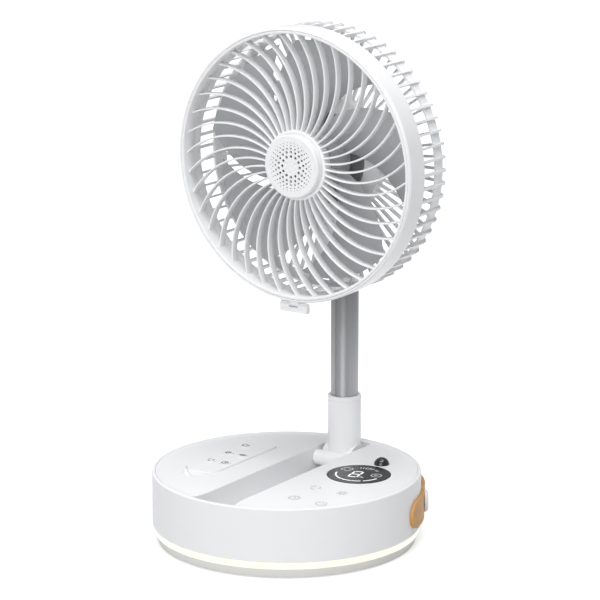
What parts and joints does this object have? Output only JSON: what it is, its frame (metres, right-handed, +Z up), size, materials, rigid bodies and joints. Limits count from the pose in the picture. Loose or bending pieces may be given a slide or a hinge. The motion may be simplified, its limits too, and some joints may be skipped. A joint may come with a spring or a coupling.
{
  "type": "foldable rechargeable fan",
  "caption": "Table fan with a round battery base, lamp ring, carry strap and remote, a telescopic pole that folds into the base, and a round grilled head.",
  "frame": {"origin": "centre of the round base on the floor, under the rubber feet", "axes": "+Z up, -Y the way the fan blows, +X to the right seen from the front"},
  "size_m": [0.2134, 0.2266, 0.4014],
  "materials": {
    "white_abs": "fine satin",
    "grille_white": "satin gloss",
    "pale_grey_plastic": "satin",
    "lamp_diffuser": "translucent",
    "black_gloss": "polished",
    "black_plastic": "matt",
    "tube_metal": "satin anodised",
    "steel": "plain",
    "strap_leather": "smooth",
    "rubber": "matt",
    "circuit_board": "solder mask",
    "cell_wrap": "film",
    "copper": "wound wire and laminations"
  },
  "bodies": {
    "base": {"base_shell": "white_abs", "top_panel": "white_abs", "bottom_cover": "white_abs", "foot_ring": "pale_grey_plastic", "light_ring": "lamp_diffuser", "led_board": "circuit_board", "rubber_feet": "rubber", "case_screws": "steel", "ballast_plate": "steel", "battery_cells": "cell_wrap", "battery_tray": "black_plastic", "main_board": "circuit_board", "charge_port": "steel", "display_lens": "black_gloss", "display_board": "circuit_board", "touch_board": "circuit_board", "receiver_dome": "black_gloss", "hinge_brackets": "steel", "base_hinge_pin": "steel", "hinge_washers": "steel", "strap": "strap_leather", "strap_studs": "white_abs"},
    "lower_pole": {"pole_sleeve": "white_abs", "sleeve_collar": "white_abs", "outer_tube": "tube_metal", "outer_tube_cap": "white_abs"},
    "middle_pole": {"middle_tube": "tube_metal", "middle_tube_cap": "white_abs", "middle_slide_bush": "black_plastic"},
    "upper_pole": {"inner_tube": "tube_metal", "inner_slide_bush": "black_plastic", "tilt_tongue": "white_abs"},
    "top_pivot": {"tilt_pin": "steel", "tilt_pin_caps": "steel"},
    "head": {"front_grille": "grille_white", "hub_cap": "grille_white", "hub_backing": "pale_grey_plastic", "shroud_band": "grille_white", "rear_cage": "grille_white", "motor_mount": "white_abs", "rear_cover": "white_abs", "tilt_arm": "white_abs", "arm_screws": "steel", "motor_stator": "copper", "motor_bearings": "steel"},
    "rotor": {"fan_blade": "grille_white", "motor_bell": "black_plastic", "motor_shaft": "steel", "blade_nut": "black_plastic"},
    "latch": {"latch_tab": "grille_white", "latch_pin": "steel"},
    "remote": {"remote_top": "white_abs", "remote_bottom": "white_abs", "remote_board": "circuit_board", "remote_cell": "steel"},
    "power_key": {"key_power": "white_abs"},
    "speed_key": {"key_speed": "white_abs"},
    "timer_key": {"key_timer": "white_abs"},
    "light_key": {"key_light": "white_abs"},
    "mode_key": {"key_mode": "white_abs"}
  },
  "joints": [
    {"name": "pole_fold", "type": "hinge", "parent": "base", "child": "lower_pole", "pos_m": [0, 0.0825, 0.0442], "axis": [1, 0, 0], "range_deg": [0, 90]},
    {"name": "middle_stage", "type": "slide", "parent": "lower_pole", "child": "middle_pole", "axis": [0, 0, -1], "range_m": [-0.1, 0]},
    {"name": "upper_stage", "type": "slide", "parent": "middle_pole", "child": "upper_pole", "axis": [0, 0, -1], "range_m": [-0.1, 0]},
    {"name": "head_flip", "type": "hinge", "parent": "upper_pole", "child": "top_pivot", "pos_m": [0, 0.0825, 0.2107], "axis": [-1, 0, 0], "range_deg": [0, 180]},
    {"name": "head_tilt", "type": "hinge", "parent": "top_pivot", "child": "head", "pos_m": [0, 0.0825, 0.2107], "axis": [1, 0, 0], "range_deg": [-60, 8]},
    {"name": "rotor_spin", "type": "hinge", "parent": "head", "child": "rotor", "pos_m": [0, 0.0071, 0.2947], "axis": [0, 1, 0], "continuous": true},
    {"name": "latch_swing", "type": "hinge", "parent": "head", "child": "latch", "pos_m": [0, 0.0115, 0.1858], "axis": [-1, 0, 0], "range_deg": [0, 12], "stiffness_Nm_per_rad": 0.02, "springref_deg": -2.86},
    {"name": "remote_lift", "type": "slide", "parent": "base", "child": "remote", "axis": [0, 0, -1], "range_m": [-0.03, 0]},
    {"name": "power_press", "type": "slide", "parent": "remote", "child": "power_key", "axis": [0, 0, -1], "range_m": [0, 0.0004], "stiffness_N_per_m": 300, "springref_m": -0.0004},
    {"name": "speed_press", "type": "slide", "parent": "remote", "child": "speed_key", "axis": [0, 0, -1], "range_m": [0, 0.0004], "stiffness_N_per_m": 300, "springref_m": -0.0004},
    {"name": "timer_press", "type": "slide", "parent": "remote", "child": "timer_key", "axis": [0, 0, -1], "range_m": [0, 0.0004], "stiffness_N_per_m": 300, "springref_m": -0.0004},
    {"name": "light_press", "type": "slide", "parent": "remote", "child": "light_key", "axis": [0, 0, -1], "range_m": [0, 0.0004], "stiffness_N_per_m": 300, "springref_m": -0.0004},
    {"name": "mode_press", "type": "slide", "parent": "remote", "child": "mode_key", "axis": [0, 0, -1], "range_m": [0, 0.0004], "stiffness_N_per_m": 300, "springref_m": -0.0004}
  ],
  "couplings": [
    {"joint": "head_flip", "follows": "pole_fold", "ratio": 2}
  ]
}
